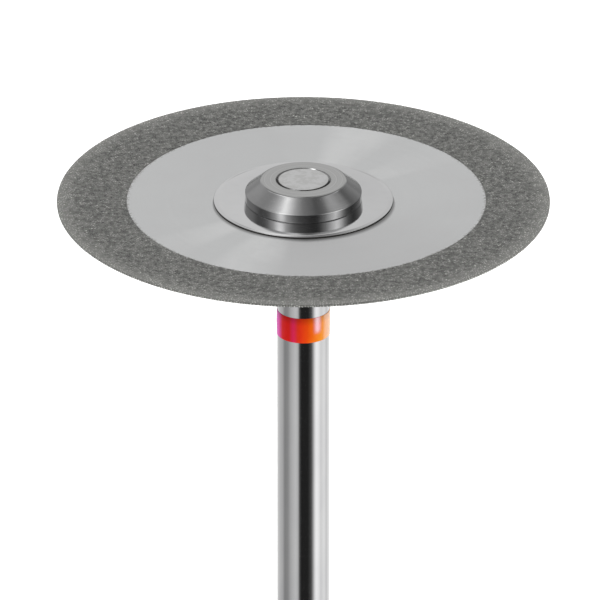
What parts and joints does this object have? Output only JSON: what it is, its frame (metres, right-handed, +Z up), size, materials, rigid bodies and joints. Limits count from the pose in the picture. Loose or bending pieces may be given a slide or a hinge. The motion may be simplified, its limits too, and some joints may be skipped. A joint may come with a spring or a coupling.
{
  "type": "double-sided diamond disc",
  "caption": "Thin steel cutting disc with a diamond-coated ring on both faces, clamped by a turned hub on a straight rotary-tool shank with a red colour band.",
  "frame": {"origin": "centre of the bounding box, on the surface the tool lies on", "axes": "+Z up; the tool lies on the disc's rim and the shank's end, with the shank running back along +Y and the hub facing -Y, tilted up by about 12.8 degrees"},
  "size_m": [0.022, 0.045, 0.0215],
  "materials": {
    "shank_steel": "ground and polished",
    "band_lacquer": "glossy red lacquer",
    "disc_steel": "circular-brushed",
    "diamond_coat": "nickel-plated diamond grit",
    "washer_steel": "polished",
    "hub_steel": "turned and polished"
  },
  "bodies": {
    "root": {"shank": "shank_steel", "colour_band": "band_lacquer", "disc_blank": "disc_steel", "diamond_rim": "diamond_coat", "upper_washer": "washer_steel", "lower_washer": "washer_steel", "hub_cap": "hub_steel", "hub_collar": "hub_steel"}
  },
  "joints": []
}
